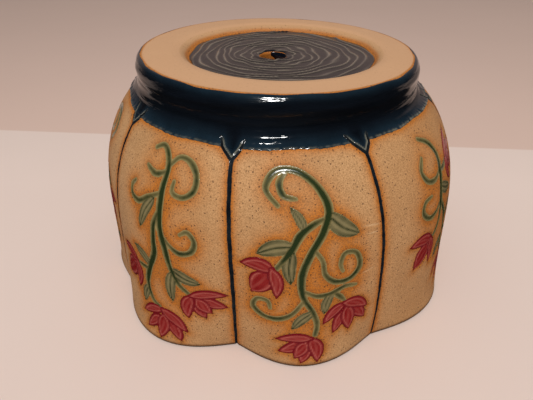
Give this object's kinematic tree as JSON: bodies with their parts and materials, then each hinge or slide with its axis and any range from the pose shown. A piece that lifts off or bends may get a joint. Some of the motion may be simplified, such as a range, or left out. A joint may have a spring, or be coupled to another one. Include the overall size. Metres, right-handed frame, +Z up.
{
  "type": "lobed stoneware planter",
  "caption": "Round stoneware planter with lobed walls, carved vines, a glazed collar and a drained foot, standing upside down on its mouth.",
  "frame": {"origin": "centre of the pot's bounding box, in the plane of the mouth's rim, which is the face it stands on here", "axes": "+Z up along the pot's axis, from the mouth to the foot, because the pot is shown upside down; -Y is the side that faces the viewer"},
  "size_m": [0.1817, 0.186, 0.1096],
  "materials": {
    "clay": "bare toasted stoneware, fine dark speckle, matt",
    "navy_glaze": "gloss, near black with a blue cast where thin",
    "well_glaze": "gloss over throwing rings, dark brown grey",
    "seam_glaze": "gloss, blue black",
    "green_glaze": "gloss, olive green, darker where it pools",
    "red_glaze": "satin gloss, brick red with darker outlines"
  },
  "bodies": {
    "root": {"stoneware_body": "clay", "collar_glaze_coat": "navy_glaze", "foot_well_glaze_coat": "well_glaze", "seam_line_1": "seam_glaze", "vine_1": "green_glaze", "blossom_1_a": "red_glaze", "blossom_1_b": "red_glaze", "blossom_1_c": "red_glaze", "seam_line_2": "seam_glaze", "vine_2": "green_glaze", "blossom_2_a": "red_glaze", "blossom_2_b": "red_glaze", "blossom_2_c": "red_glaze", "seam_line_3": "seam_glaze", "vine_3": "green_glaze", "blossom_3_a": "red_glaze", "blossom_3_b": "red_glaze", "blossom_3_c": "red_glaze", "seam_line_4": "seam_glaze", "vine_4": "green_glaze", "blossom_4_a": "red_glaze", "blossom_4_b": "red_glaze", "blossom_4_c": "red_glaze", "seam_line_5": "seam_glaze", "vine_5": "green_glaze", "blossom_5_a": "red_glaze", "blossom_5_b": "red_glaze", "blossom_5_c": "red_glaze", "seam_line_6": "seam_glaze", "vine_6": "green_glaze", "blossom_6_a": "red_glaze", "blossom_6_b": "red_glaze", "blossom_6_c": "red_glaze", "seam_line_7": "seam_glaze", "vine_7": "green_glaze", "blossom_7_a": "red_glaze", "blossom_7_b": "red_glaze", "blossom_7_c": "red_glaze", "seam_line_8": "seam_glaze", "vine_8": "green_glaze", "blossom_8_a": "red_glaze", "blossom_8_b": "red_glaze", "blossom_8_c": "red_glaze"}
  },
  "joints": []
}
